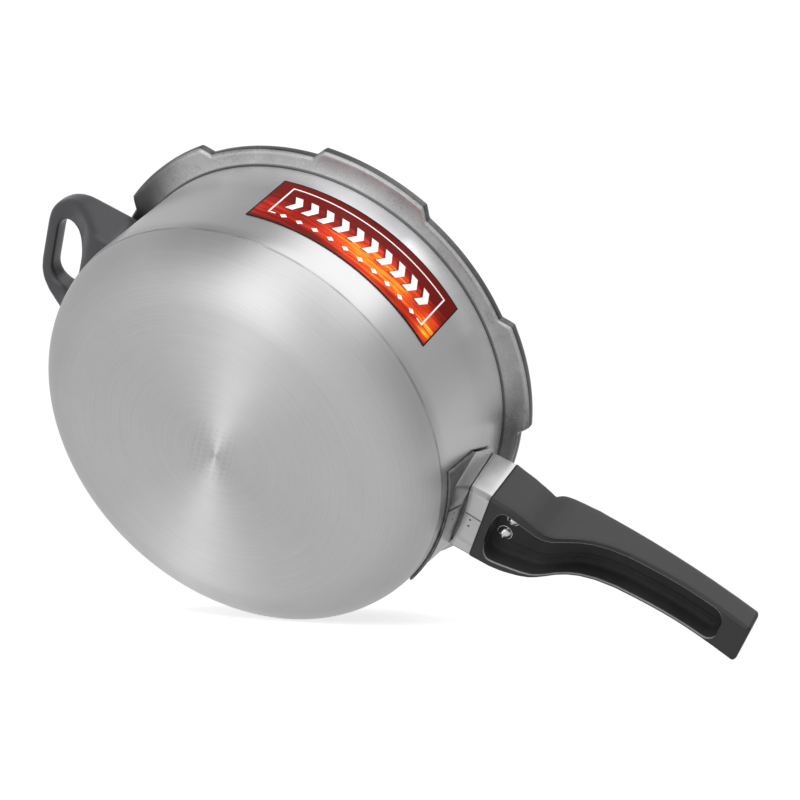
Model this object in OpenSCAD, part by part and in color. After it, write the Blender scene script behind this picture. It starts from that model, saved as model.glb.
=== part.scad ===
// Pan of a stovetop pressure cooker: a pressed aluminium body with a lugged
// rim, a long side handle on a riveted saddle, and a short helper handle.
// The origin is the centre of the flat underside, +X runs along the long
// handle and +Z runs up the pan's axis. Sizes are in millimetres.

/* [Pan body] */
// Outer radius of the straight pan wall
wall_r = 109.5; // [107:0.5:111]
// Height of the rim's underside above the base
rim_z = 92; // [91:0.5:96]
// Radius of the large bottom corner
corner_r = 30; // [26:1:31]
// Thickness of the pan wall
wall_t = 3.2; // [2.6:0.1:4]
// Thickness of the flat base
base_t = 5; // [4:0.5:7]
// Radius of the fillet under the rim
fillet_r = 4; // [3:0.5:4]

/* [Lugged rim] */
// Thickness of the rim
rim_t = 6; // [5:0.5:8]
// Outer radius of the rim between two lugs
notch_r = 118; // [117:0.5:120]
// Outer radius of the rim over a lug
lug_r = 123; // [122:0.5:126]
// Number of lugs
lug_count = 6; // [4:1:8]
// Angle that the outer edge of one lug spans
lug_angle = 26; // [20:1:30]
// Angle that one sloped end of a lug spans
ramp_angle = 2.6; // [2:0.2:4]
// Angle from the long handle to the middle of the nearest gap between lugs
lug_turn = 3; // [0:0.5:10]
// Bevel on the rim's outer edges
rim_bevel = 1.2; // [0.6:0.1:1.6]

/* [Label] */
// Angle of the label's middle, measured from the long handle
label_turn = -78.7; // [-100:0.1:-60]
// Angle that the label spans round the wall
label_angle = 56; // [40:1:60]
// Height of the label's lower edge
label_z = 42; // [38:0.5:44]
// Height of the label
label_h = 37; // [30:0.5:40]
// Thickness of the label
label_t = 0.3; // [0.2:0.05:0.4]

/* [Handle saddle] */
// Thickness of the saddle's foot, which hugs the pan wall
foot_t = 1.6; // [1.4:0.1:2]
// Half the width of the foot at its lower edge
foot_low_w = 37; // [35:0.5:39]
// Half the width of the foot at its shoulder
foot_mid_w = 32; // [30:0.5:34]
// Half the width of the foot at its upper edge
foot_top_w = 27; // [24:0.5:29]
// Height of the foot's lower edge
foot_z = 28; // [27:0.5:31]
// Width over the collars on the saddle's neck
neck_w = 40; // [39:0.5:41]
// Height of the collars' underside
neck_z = 44.5; // [44:0.5:46]
// Height over the collars
neck_h = 33; // [32:0.5:34]
// Thickness of the sheet in both collars
sheet_t = 1.2; // [1:0.1:1.4]
// Outer radius, from the pan's axis, of the band next to the wall
band_r = 113.8; // [113:0.1:114.4]
// Half the width of the flared band at its lower edge on the wall
band_low_w = 28.5; // [24:0.5:30]
// Half the width of the flared band at its shoulder on the wall
band_mid_w = 32.5; // [26:0.5:33]
// Inner radius, from the pan's axis, of the flame guard
guard_r = 114.4; // [114.3:0.1:116]

/* [Long handle] */
// Distance from the pan's axis to the handle's near end
grip_x0 = 123.4; // [123.4:0.1:124]
// Distance from the pan's axis to the handle's far end
grip_x1 = 259; // [250:1:265]
// Thickness of the handle's shell round its hollow underside
shell_t = 3; // [2.6:0.1:3.4]

/* [Helper handle] */
// Distance from the pan's axis to the helper handle's outer face
helper_x = 154.5; // [150:0.5:158]
// Half the width of the helper handle
helper_w = 35; // [34:0.5:38]
// Height of the helper handle's top
helper_top = 88; // [86:0.5:89]
// Height of the helper handle's outer bar
bar_h = 10; // [9:0.5:13]
// Length of the finger gap, from the root block to the outer bar
gap_x = 22.5; // [20:0.5:23]

/* [Hidden] */
$fn = 96;

// Clearance between parts that rest on each other
gap = 0.05;
// Middle of the neck, as a height
mid_z = neck_z + neck_h / 2;
// Inner radius of the pan
bore_r = wall_r - wall_t;
// Overshoot of a cutting solid past the face that it cuts
past = 1;

// Rivets of both brackets: shank, domed head inside the pan, flat tail outside
rivet_r = 1.9;
rivet_head_r = 4.2;
rivet_head_h = 2.2;
rivet_tail_r = 3.2;
rivet_tail_h = 1.8;
// Four of them hold the saddle, two on each side of the neck's middle
rivet_turns = [-4, 4];
rivet_heights = [mid_z - 9.8, mid_z + 9.8];
// Thickness of the saddle's web under the rivets' tails
web_t = 3.2;

// Heights of the foot's shoulder and top, and the wide end of the flared band
shoulder_z = 55;
foot_top_z = 62;
band_flare_x = 106;
band_low_z = 27;

// Play between a head or a tail and the face it is drawn up to
play = 0.2;

// The tongue is a flat steel bar pinned into the neck
tongue_w = 22;
tongue_h = 7;
tongue_x0 = 115;
tongue_x1 = 142;
pin_x = 118.6;
pin_r = 1.75;

// The two handle screws stand upright below the tongue
front_screw = [134.2, 3.6];
rear_screw = [136, -6];
front_shank_r = 2;
rear_shank_r = 1.5;
// Their heads sit this far below the tongue, and their tips end flush with its top
seat_drop = 3;
screw_seat_z = mid_z - tongue_h / 2 - seat_drop;
screw_length = seat_drop + tongue_h;

// The handle's hollow starts and ends this far from the handle's own ends
hollow_start = 5;
hollow_end = 14;

// Half the long handle's width at its near end, at its waist and at its far end
near_w = neck_w / 2;
waist_w = 12.2;
far_w = 11.6;

// Steel angle on the wall inside the helper handle: a plate and a shelf
plate_w = 26;
plate_t = 2;
shelf_z = 69;
shelf_t = 3;
helper_rivet_turns = [-5, 5];
helper_rivet_z = 79;

// Root block of the helper handle and its two screws
root_z = 61;
root_x = 124.5;
helper_screw_x = 114.5;
helper_screw_y = 8;
helper_shank_r = 2;
helper_sink_r = 4.6;
helper_sink_h = 2;
shelf_end = helper_screw_x + 2.8;
// Where the helper handle's block starts before it is cut to the wall
block_x = wall_r - 12;
// Width of the solid bar beside the finger gap
side_bar_w = 14;

// ---- shared outlines -----------------------------------------------------

// A rectangle that starts at the axis and has one rounded lower corner
module bowl_outline(w, h, r) {
    square([w - r, h]);
    translate([0, r]) square([w, h - r]);
    translate([w - r, r]) circle(r);
}

// A rectangle with rounded corners, centred on its own middle
module round_rect(w, h, r) {
    square([w - 2 * r, h], center = true);
    square([w, h - 2 * r], center = true);
    for (x = [-1, 1], y = [-1, 1])
        translate([x * (w / 2 - r), y * (h / 2 - r)]) circle(r);
}

// A point on a circle of radius r at angle a
function on_circle(r, a) = [r * cos(a), r * sin(a)];

// One point of a cubic curve with end points a and d
function cubic(a, b, c, d, t) =
    a * pow(1 - t, 3) + b * 3 * t * pow(1 - t, 2) + c * 3 * t * t * (1 - t) + d * pow(t, 3);

// The points of a cubic curve, without its first point
function curve(a, b, c, d, n = 8) = [for (i = [1 : n]) cubic(a, b, c, d, i / n)];

// Turns a shape drawn in X and Y so that Y becomes height, and makes it t deep
module upright(t) {
    translate([0, t / 2, 0]) rotate([90, 0, 0]) linear_extrude(t) children();
}

// A solid that runs along X from x0, from an outline drawn in Y and Z
module along_x(x0, length) {
    translate([x0, 0, 0]) rotate([90, 0, 90]) linear_extrude(length) children();
}

// A domed head with its flat side down
module domed_head(r, h) {
    ball_r = (r * r + h * h) / (2 * h);
    intersection() {
        translate([0, 0, h - ball_r]) sphere(ball_r);
        cylinder(r = r, h = h);
    }
}

// A pan-head screw that points up, with the underside of its head at the origin
module pan_screw(shank_r, length, head_r, head_h) {
    slot_l = head_r * 0.55;
    slot_w = head_h * 0.26;
    slot_h = head_h * 0.5;
    difference() {
        union() {
            cylinder(r = shank_r, h = length);
            rotate([180, 0, 0]) domed_head(head_r, head_h);
        }
        for (a = [0, 90])
            rotate(a) translate([-slot_l, -slot_w / 2, -head_h - past])
                cube([2 * slot_l, slot_w, slot_h + past]);
    }
}

// A flat washer with its lower face at the origin
module washer(hole_r, outer_r, t) {
    difference() {
        cylinder(r = outer_r, h = t);
        translate([0, 0, -past]) cylinder(r = hole_r, h = t + 2 * past);
    }
}

// ---- pan -----------------------------------------------------------------

// Half section of the pan, with the rim as wide as it is between two lugs
module pan_section() {
    inner_corner_r = corner_r - wall_t;
    difference() {
        union() {
            bowl_outline(wall_r, rim_z + rim_t, corner_r);
            rim_section(notch_r);
            difference() {
                translate([bore_r, rim_z - fillet_r]) square([wall_t + fillet_r, fillet_r]);
                translate([wall_r + fillet_r, rim_z - fillet_r]) circle(fillet_r);
            }
        }
        translate([0, base_t]) bowl_outline(bore_r, rim_z + rim_t, inner_corner_r);
    }
}

// Half section of the rim, with both outer edges bevelled
module rim_section(r) {
    polygon([[bore_r, rim_z], [r - rim_bevel, rim_z], [r, rim_z + rim_bevel],
        [r, rim_z + rim_t - rim_bevel], [r - rim_bevel, rim_z + rim_t], [bore_r, rim_z + rim_t]]);
}

// One lug of the rim, centred on +X, with sloped ends
module lug() {
    half = lug_angle / 2;
    out = 1.2;
    top = on_circle(lug_r, half);
    foot = on_circle(notch_r, half + ramp_angle);
    tip = foot + (top - foot) * out;
    intersection() {
        rotate_extrude() rim_section(lug_r);
        linear_extrude(rim_z + rim_t + past)
            polygon([[bore_r + past, 0], foot, tip, [lug_r * out, 0],
                [tip[0], -tip[1]], [foot[0], -foot[1]]]);
    }
}

// Radial holes through the wall for the rivets of one bracket
module wall_holes(turns, heights) {
    for (a = turns, z = heights)
        rotate(a) translate([bore_r - past, 0, z]) rotate([0, 90, 0])
            cylinder(r = rivet_r, h = wall_t + 2 * past);
}

module pan_body() {
    color("silver") difference() {
        union() {
            rotate_extrude() pan_section();
            for (i = [0 : lug_count - 1])
                rotate(lug_turn + (i + 0.5) * 360 / lug_count) lug();
        }
        wall_holes(rivet_turns, rivet_heights);
        rotate(180) wall_holes(helper_rivet_turns, [helper_rivet_z]);
    }
}

module wall_label() {
    color("orangered")
        rotate(label_turn - label_angle / 2)
            rotate_extrude(angle = label_angle)
                translate([wall_r + gap, label_z]) square([label_t, label_h]);
}

// ---- handle saddle ---------------------------------------------------------

// Outline of the neck inside the collars, drawn in Y and Z
module neck_outline(inset) {
    translate([0, mid_z]) round_rect(neck_w - 2 * inset, neck_h - 2 * inset, 5 - inset);
}

// Outline that widens to a shoulder and narrows above it, drawn in Y and Z
module shoulder_outline(low_w, low_z, mid_w, top_w, top_z) {
    polygon([[-low_w, low_z], [low_w, low_z], [mid_w, shoulder_z], [top_w, top_z],
        [-top_w, top_z], [-mid_w, shoulder_z]]);
}

module saddle() {
    neck_end = grip_x0 - 2;
    corner_drop = 6;
    color("dimgray") difference() {
        union() {
            intersection() {
                cylinder(r = wall_r + foot_t, h = rim_z);
                along_x(0, wall_r + 2 * foot_t)
                    shoulder_outline(foot_low_w, foot_z, foot_mid_w, foot_top_w, foot_top_z);
            }
            along_x(wall_r - corner_drop, neck_end - wall_r + corner_drop)
                neck_outline(sheet_t + gap);
        }
        translate([0, 0, -past]) cylinder(r = wall_r + gap, h = rim_z + 2 * past);
        translate([tongue_x0 - gap, -tongue_w / 2 - gap, mid_z - tongue_h / 2 - gap])
            cube([neck_end, tongue_w + 2 * gap, tongue_h + 2 * gap]);
        for (a = rivet_turns, z = rivet_heights) {
            rotate(a) translate([wall_r - past, 0, z]) rotate([0, 90, 0])
                cylinder(r = rivet_r, h = web_t + 2 * past);
            rotate(a) translate([wall_r + web_t, 0, z]) rotate([0, 90, 0])
                cylinder(r = rivet_tail_r + 0.7, h = neck_end);
        }
        translate([pin_x, 0, neck_z - past]) cylinder(r = pin_r + gap, h = neck_h + 2 * past);
    }
}

// Rivets that lie along the radius, with a domed head inside the pan
module radial_rivets(turns, heights, grip_end) {
    seat = bore_r - play;
    for (a = turns, z = heights)
        rotate(a) translate([0, 0, z]) rotate([0, 90, 0]) {
            translate([0, 0, seat]) cylinder(r = rivet_r - gap, h = grip_end - seat + rivet_tail_h / 2);
            translate([0, 0, grip_end]) cylinder(r = rivet_tail_r, h = rivet_tail_h);
            translate([0, 0, seat]) rotate([180, 0, 0]) domed_head(rivet_head_r, rivet_head_h);
        }
}

module saddle_rivets() {
    color("gainsboro") radial_rivets(rivet_turns, rivet_heights, wall_r + web_t + play);
}

module handle_tongue() {
    color("lightsteelblue") difference() {
        translate([tongue_x0, -tongue_w / 2, mid_z - tongue_h / 2])
            cube([tongue_x1 - tongue_x0, tongue_w, tongue_h]);
        translate([pin_x, 0, neck_z]) cylinder(r = pin_r + gap, h = neck_h);
        translate([front_screw[0], front_screw[1], neck_z]) cylinder(r = front_shank_r + gap, h = neck_h);
        translate([rear_screw[0], rear_screw[1], neck_z]) cylinder(r = rear_shank_r + gap, h = neck_h);
    }
}

module tongue_pin() {
    color("silver") translate([pin_x, 0, neck_z + sheet_t + 1])
        cylinder(r = pin_r, h = neck_h - 2 * sheet_t - 2);
}

// A sheet collar round the neck
module collar(x0, x1) {
    along_x(x0, x1 - x0) difference() {
        neck_outline(0);
        neck_outline(sheet_t);
    }
}

// The flared band as a solid, or the space inside its sheet if inset is the sheet's thickness
module band_solid(inset) {
    slice = 0.1;
    hull() {
        along_x(band_flare_x, slice)
            shoulder_outline(band_low_w - inset, band_low_z + inset, band_mid_w - inset,
                neck_w / 2 - inset, neck_z + neck_h - inset);
        along_x(band_r, past) neck_outline(inset, $fn = 32);
    }
}

// The band next to the wall, which flares out to the saddle's foot
module neck_band() {
    color("lightgray") difference() {
        intersection() {
            band_solid(0);
            cylinder(r = band_r, h = rim_z);
        }
        band_solid(sheet_t);
        translate([0, 0, -past]) cylinder(r = wall_r + foot_t + gap, h = rim_z + 2 * past);
    }
}

// The polished flame guard between the band and the handle
module flame_guard() {
    color("white") difference() {
        collar(guard_r - 8, grip_x0 - gap);
        translate([0, 0, -past]) cylinder(r = guard_r, h = rim_z + 2 * past);
    }
}

// ---- long handle -----------------------------------------------------------

// Side outline of the handle in X and Z
module handle_side() {
    near_top = [grip_x0, neck_z + neck_h];
    near_low = [grip_x0, neck_z];
    dip = [148.2, 73.9];
    crest = [168.5, 85.5];
    belly = [150, 44.2];
    waist = [192.5, 65.8];
    top_far = [grip_x1, 75.8];
    low_far = [grip_x1 - 1.5, 60];
    polygon(concat(
        [near_low, near_top],
        curve(near_top, [129, 76.2], [139, 73.6], dip, 3),
        curve(dip, [149.5, 78.5], [153.5, 83.6], crest),
        curve(crest, [193, 85.3], [223, 83.8], top_far),
        [low_far],
        curve(low_far, [230.5, 66.1], [219.5, 67.1], waist),
        curve(waist, [162, 62.6], [163.5, 44.5], belly),
        curve(belly, [142, 43.9], [132, 44.2], near_low, 3)));
}

// Plan outline of the handle in X and Y, drawn inset by d
module handle_plan(d) {
    right = concat(
        [[grip_x0 + (d > 0 ? 5 : 0), near_w - d]],
        curve([grip_x0 + 5, near_w - d], [148, near_w - d], [150, waist_w - d], [172, waist_w - d]),
        curve([172, waist_w - d], [200, waist_w - d], [240, far_w - d], [grip_x1 - d * 4.5, far_w - d], 4));
    left = [for (i = [len(right) - 1 : -1 : 0]) [right[i][0], -right[i][1]]];
    polygon(concat(right, left));
}

// The hollow in the handle's underside
module handle_hollow() {
    roof_z = screw_seat_z + 1.2;
    intersection() {
        linear_extrude(rim_z) handle_plan(shell_t);
        upright(neck_w) polygon(concat(
            [[grip_x0 + hollow_start, 0], [grip_x0 + hollow_start, roof_z], [tongue_x1, roof_z]],
            curve([tongue_x1, roof_z], [154, roof_z + 0.8], [150, 75], [172, 77]),
            [[grip_x1 - hollow_end, 71], [grip_x1 - hollow_end + 2, 0]]));
    }
}

module long_handle() {
    color([0.2, 0.2, 0.21]) difference() {
        intersection() {
            upright(neck_w + 2) handle_side();
            linear_extrude(rim_z) handle_plan(0);
        }
        handle_hollow();
        translate([grip_x0 - past, -tongue_w / 2 - gap, mid_z - tongue_h / 2 - gap])
            cube([tongue_x1 - grip_x0 + past + gap, tongue_w + 2 * gap, tongue_h + 2 * gap]);
        translate([front_screw[0], front_screw[1], 0]) cylinder(r = front_shank_r + gap, h = mid_z);
        translate([rear_screw[0], rear_screw[1], 0]) cylinder(r = rear_shank_r + gap, h = mid_z);
    }
}

module front_handle_screw() {
    color("white") translate([front_screw[0], front_screw[1], screw_seat_z])
        pan_screw(front_shank_r, screw_length, 3.6, 2.6);
}

module rear_handle_screw() {
    color("white") translate([rear_screw[0], rear_screw[1], screw_seat_z])
        pan_screw(rear_shank_r, screw_length, 2.9, 2.2);
}

module front_washer() {
    color("silver") translate([front_screw[0], front_screw[1], screw_seat_z + gap])
        washer(front_shank_r + 0.1, 3.9, 1);
}

module rear_washer() {
    color("silver") translate([rear_screw[0], rear_screw[1], screw_seat_z + gap])
        washer(rear_shank_r + 0.1, 3.2, 1);
}

// ---- helper handle ---------------------------------------------------------
// The helper handle is drawn on +X and turned to -X at the end.

module helper_bracket() {
    face = wall_r + gap;
    plate_h = 14.5;
    color("silver") rotate(180) difference() {
        union() {
            intersection() {
                cylinder(r = face + plate_t, h = rim_z);
                along_x(0, wall_r + plate_t + past)
                    translate([-plate_w / 2, shelf_z]) square([plate_w, plate_h]);
            }
            translate([bore_r, -plate_w / 2, shelf_z]) cube([shelf_end - bore_r, plate_w, shelf_t]);
        }
        translate([0, 0, -past]) cylinder(r = face, h = rim_z + 2 * past);
        for (a = helper_rivet_turns)
            rotate(a) translate([wall_r - past, 0, helper_rivet_z]) rotate([0, 90, 0])
                cylinder(r = rivet_r, h = plate_t + 4 * past);
        for (y = [-helper_screw_y, helper_screw_y])
            translate([helper_screw_x, y, shelf_z - past])
                cylinder(r = helper_shank_r + gap, h = shelf_t + 2 * past);
    }
}

module helper_rivets() {
    color("gainsboro") rotate(180)
        radial_rivets(helper_rivet_turns, [helper_rivet_z], wall_r + plate_t + play);
}

// Plan outline of the helper handle in X and Y
module helper_plan() {
    corner = 22;
    half_length = (helper_x - block_x) / 2;
    translate([block_x + half_length, 0]) round_rect(2 * half_length, 2 * helper_w, corner);
    translate([block_x, -helper_w]) square([half_length, 2 * helper_w]);
}

// Side outline of the helper handle in X and Z
module helper_side() {
    bar_low = helper_top - bar_h;
    outer = helper_x + past;
    polygon(concat(
        [[block_x, root_z], [block_x, helper_top], [outer, helper_top], [outer, bar_low + 2],
            [helper_x - 3, bar_low]],
        curve([helper_x - 3, bar_low], [helper_x - 26, bar_low], [root_x + 1, root_z],
            [wall_r + 6, root_z])));
}

module helper_handle() {
    gap_w = 2 * (helper_w - side_bar_w);
    pocket_z = root_z + 4;
    roof_t = 3;
    color([0.2, 0.2, 0.21]) rotate(180) difference() {
        intersection() {
            upright(2 * helper_w + 2) helper_side();
            linear_extrude(rim_z) helper_plan();
        }
        translate([0, 0, -past]) cylinder(r = wall_r + gap, h = rim_z + 2 * past);
        translate([root_x + gap_x / 2, 0, 0]) linear_extrude(rim_z) round_rect(gap_x, gap_w, 9);
        translate([block_x, -plate_w / 2 - gap, pocket_z])
            cube([shelf_end - block_x + gap, plate_w + 2 * gap, helper_top - roof_t - pocket_z]);
        for (y = [-helper_screw_y, helper_screw_y])
            translate([helper_screw_x, y, root_z - past]) {
                cylinder(r = helper_shank_r + gap, h = shelf_z - root_z);
                cylinder(r = helper_sink_r, h = helper_sink_h + past);
            }
    }
}

module helper_screws() {
    color("white") rotate(180) for (y = [-helper_screw_y, helper_screw_y])
        translate([helper_screw_x, y, root_z + 1]) pan_screw(helper_shank_r, 14, 3.6, 2.4);
}

module helper_washers() {
    color("silver") rotate(180) for (y = [-helper_screw_y, helper_screw_y])
        translate([helper_screw_x, y, root_z + 1 + gap]) washer(helper_shank_r + 0.1, 4.4, 0.8);
}

module helper_nuts() {
    color("silver") rotate(180) for (y = [-helper_screw_y, helper_screw_y])
        translate([helper_screw_x, y, shelf_z + shelf_t + gap]) difference() {
            cylinder(r = 4, h = 3.2, $fn = 6);
            translate([0, 0, -past]) cylinder(r = helper_shank_r + gap, h = 6);
        }
}

pan_body();
wall_label();
saddle();
saddle_rivets();
handle_tongue();
tongue_pin();
neck_band();
flame_guard();
long_handle();
front_handle_screw();
rear_handle_screw();
front_washer();
rear_washer();
helper_bracket();
helper_rivets();
helper_handle();
helper_screws();
helper_washers();
helper_nuts();
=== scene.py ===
"""Looks of the pressure-cooker pan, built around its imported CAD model. All lengths are in metres."""

import math

import bmesh
import bpy
import numpy as np
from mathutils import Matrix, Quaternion, Vector


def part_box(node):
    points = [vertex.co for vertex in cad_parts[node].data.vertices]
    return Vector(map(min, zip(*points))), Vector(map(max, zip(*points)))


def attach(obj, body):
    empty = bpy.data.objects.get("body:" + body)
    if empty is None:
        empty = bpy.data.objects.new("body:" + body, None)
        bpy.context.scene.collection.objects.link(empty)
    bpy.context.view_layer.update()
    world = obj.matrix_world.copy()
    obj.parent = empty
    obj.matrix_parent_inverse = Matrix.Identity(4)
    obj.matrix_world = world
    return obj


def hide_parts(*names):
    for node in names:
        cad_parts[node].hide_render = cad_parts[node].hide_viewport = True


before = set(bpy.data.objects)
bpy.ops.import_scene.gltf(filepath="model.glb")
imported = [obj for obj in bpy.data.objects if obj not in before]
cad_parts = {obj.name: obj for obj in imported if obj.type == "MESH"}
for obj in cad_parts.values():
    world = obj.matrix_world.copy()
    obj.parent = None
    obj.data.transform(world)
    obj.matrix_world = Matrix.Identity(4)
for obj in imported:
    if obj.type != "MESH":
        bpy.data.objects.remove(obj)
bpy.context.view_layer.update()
MM = 0.001


# ---- measuring the frame ---------------------------------------------------


def cad_points(node):
    """The vertices of a CAD node, as an array with one row per vertex."""
    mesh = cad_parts[node].data
    points = np.zeros(len(mesh.vertices) * 3)
    mesh.vertices.foreach_get("co", points)
    return points.reshape(-1, 3)


def cad_edges(node):
    """The two ends of every edge of a CAD node."""
    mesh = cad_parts[node].data
    ends = np.zeros(len(mesh.edges) * 2, dtype=np.int64)
    mesh.edges.foreach_get("vertices", ends)
    points = cad_points(node)
    return points[ends[0::2]], points[ends[1::2]]


def section_box(edges, x):
    """Half width, lowest and highest height of the section of a CAD node at x."""
    a, b = edges
    crossing = (a[:, 0] - x) * (b[:, 0] - x) < 0
    a, b = a[crossing], b[crossing]
    t = ((x - a[:, 0]) / (b[:, 0] - a[:, 0]))[:, None]
    cut = a + (b - a) * t
    return np.array([cut[:, 1].max(), cut[:, 2].min(), cut[:, 2].max()])


pan_points = cad_points("pan_body")
pan_radii = np.hypot(pan_points[:, 0], pan_points[:, 1])
pan_heights = pan_points[:, 2]

RIM_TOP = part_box("pan_body")[1].z
RIM_T = 6 * MM
RIM_LOW = RIM_TOP - RIM_T
LUG_R = float(pan_radii.max())
on_plain_wall = (pan_heights > 0.3 * RIM_TOP) & (pan_heights < RIM_LOW - 4.5 * MM)
WALL_R = float(pan_radii[on_plain_wall].max())
WALL_T = 3.2 * MM
BORE_R = WALL_R - WALL_T
FLAT_R = float(pan_radii[pan_heights < 1e-6].max())
CORNER_R = WALL_R - FLAT_R
BASE_T = 5 * MM
NOTCH_R = WALL_R + 8.5 * MM
FILLET_R = 1.0 * MM
RIM_BEVEL = 1.2 * MM
LUGS = 6
LUG_HALF = 13.0
LUG_RAMP = 2.6
LUG_TURN = 33.0
POLISH_Z = 23 * MM


# ---- meshes ------------------------------------------------------------------


def make_piece(name, points, faces, materials, sharp=35, face_zone=None):
    """A new mesh object that rides on the part's one body. face_zone gives each face's material."""
    mesh = bpy.data.meshes.new(name)
    mesh.from_pydata([tuple(p) for p in points], [], faces)
    for material in materials:
        mesh.materials.append(material)
    if face_zone is not None:
        mesh.polygons.foreach_set("material_index", face_zone)
    mesh.update()
    build = bmesh.new()
    build.from_mesh(mesh)
    bmesh.ops.remove_doubles(build, verts=build.verts, dist=2e-6)
    bmesh.ops.dissolve_degenerate(build, edges=build.edges, dist=1e-6)
    bmesh.ops.recalc_face_normals(build, faces=build.faces)
    build.to_mesh(mesh)
    build.free()
    mesh.shade_smooth()
    mesh.set_sharp_from_angle(angle=math.radians(sharp))
    piece = bpy.data.objects.new(name, mesh)
    bpy.context.scene.collection.objects.link(piece)
    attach(piece, "root")
    return piece


def loft_faces(rings, size, closed=False):
    """Quads between rings of `size` points each. A closed loft joins its last ring to its first."""
    faces = []
    for i in range(rings if closed else rings - 1):
        a, b = i * size, (i + 1) % rings * size
        for j in range(size):
            k = (j + 1) % size
            faces.append((a + j, b + j, b + k, a + k))
    return faces


def arc(centre, radius, start, end, steps):
    """Points on an arc in a half section, from start to end degrees, both included."""
    turns = [math.radians(start + (end - start) * i / steps) for i in range(steps + 1)]
    return [(centre[0] + radius * math.cos(t), centre[1] + radius * math.sin(t)) for t in turns]


def line(a, b, steps):
    """Points on a straight line, both ends included."""
    return [tuple(np.array(a) + (np.array(b) - np.array(a)) * i / steps) for i in range(steps + 1)]


def smooth_step(t):
    """0 below 0, 1 above 1, with a soft turn at both ends."""
    t = min(max(t, 0.0), 1.0)
    return t * t * (3 - 2 * t)


# ---- shader fields -------------------------------------------------------------


class Field:
    """A number that varies over a surface, made of shader math nodes."""

    def __init__(self, tree, socket):
        self.tree = tree
        self.socket = socket

    def math(self, operation, *others):
        """The field put through a math node, with more fields or numbers as its other inputs."""
        node = self.tree.nodes.new("ShaderNodeMath")
        node.operation = operation
        for slot, value in enumerate((self, *others)):
            if isinstance(value, Field):
                self.tree.links.new(value.socket, node.inputs[slot])
            else:
                node.inputs[slot].default_value = value
        return Field(self.tree, node.outputs[0])

    def __add__(self, other):
        return self.math("ADD", other)

    def __sub__(self, other):
        return self.math("SUBTRACT", other)

    def __mul__(self, other):
        return self.math("MULTIPLY", other)

    def __truediv__(self, other):
        return self.math("DIVIDE", other)

    def abs(self):
        return self.math("ABSOLUTE")

    def sin(self):
        return self.math("SINE")

    def fract(self):
        return self.math("FRACT")

    def most(self, other):
        return self.math("MAXIMUM", other)

    def ramp(self, low, high, from_value=0.0, to_value=1.0):
        """A soft change from from_value at low to to_value at high."""
        node = self.tree.nodes.new("ShaderNodeMapRange")
        node.interpolation_type = "SMOOTHSTEP"
        self.tree.links.new(self.socket, node.inputs["Value"])
        if low > high:
            low, high, from_value, to_value = high, low, to_value, from_value
        node.inputs["From Min"].default_value = low
        node.inputs["From Max"].default_value = high
        node.inputs["To Min"].default_value = from_value
        node.inputs["To Max"].default_value = to_value
        return Field(self.tree, node.outputs["Result"])

    def colours(self, stops):
        """A colour from a list of (position, (r, g, b)) stops."""
        node = self.tree.nodes.new("ShaderNodeValToRGB")
        self.tree.links.new(self.socket, node.inputs["Fac"])
        node.color_ramp.interpolation = "EASE"
        while len(node.color_ramp.elements) < len(stops):
            node.color_ramp.elements.new(0.5)
        for element, (position, colour) in zip(node.color_ramp.elements, stops):
            element.position = position
            element.color = (*colour, 1)
        return node.outputs["Color"]


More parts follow.
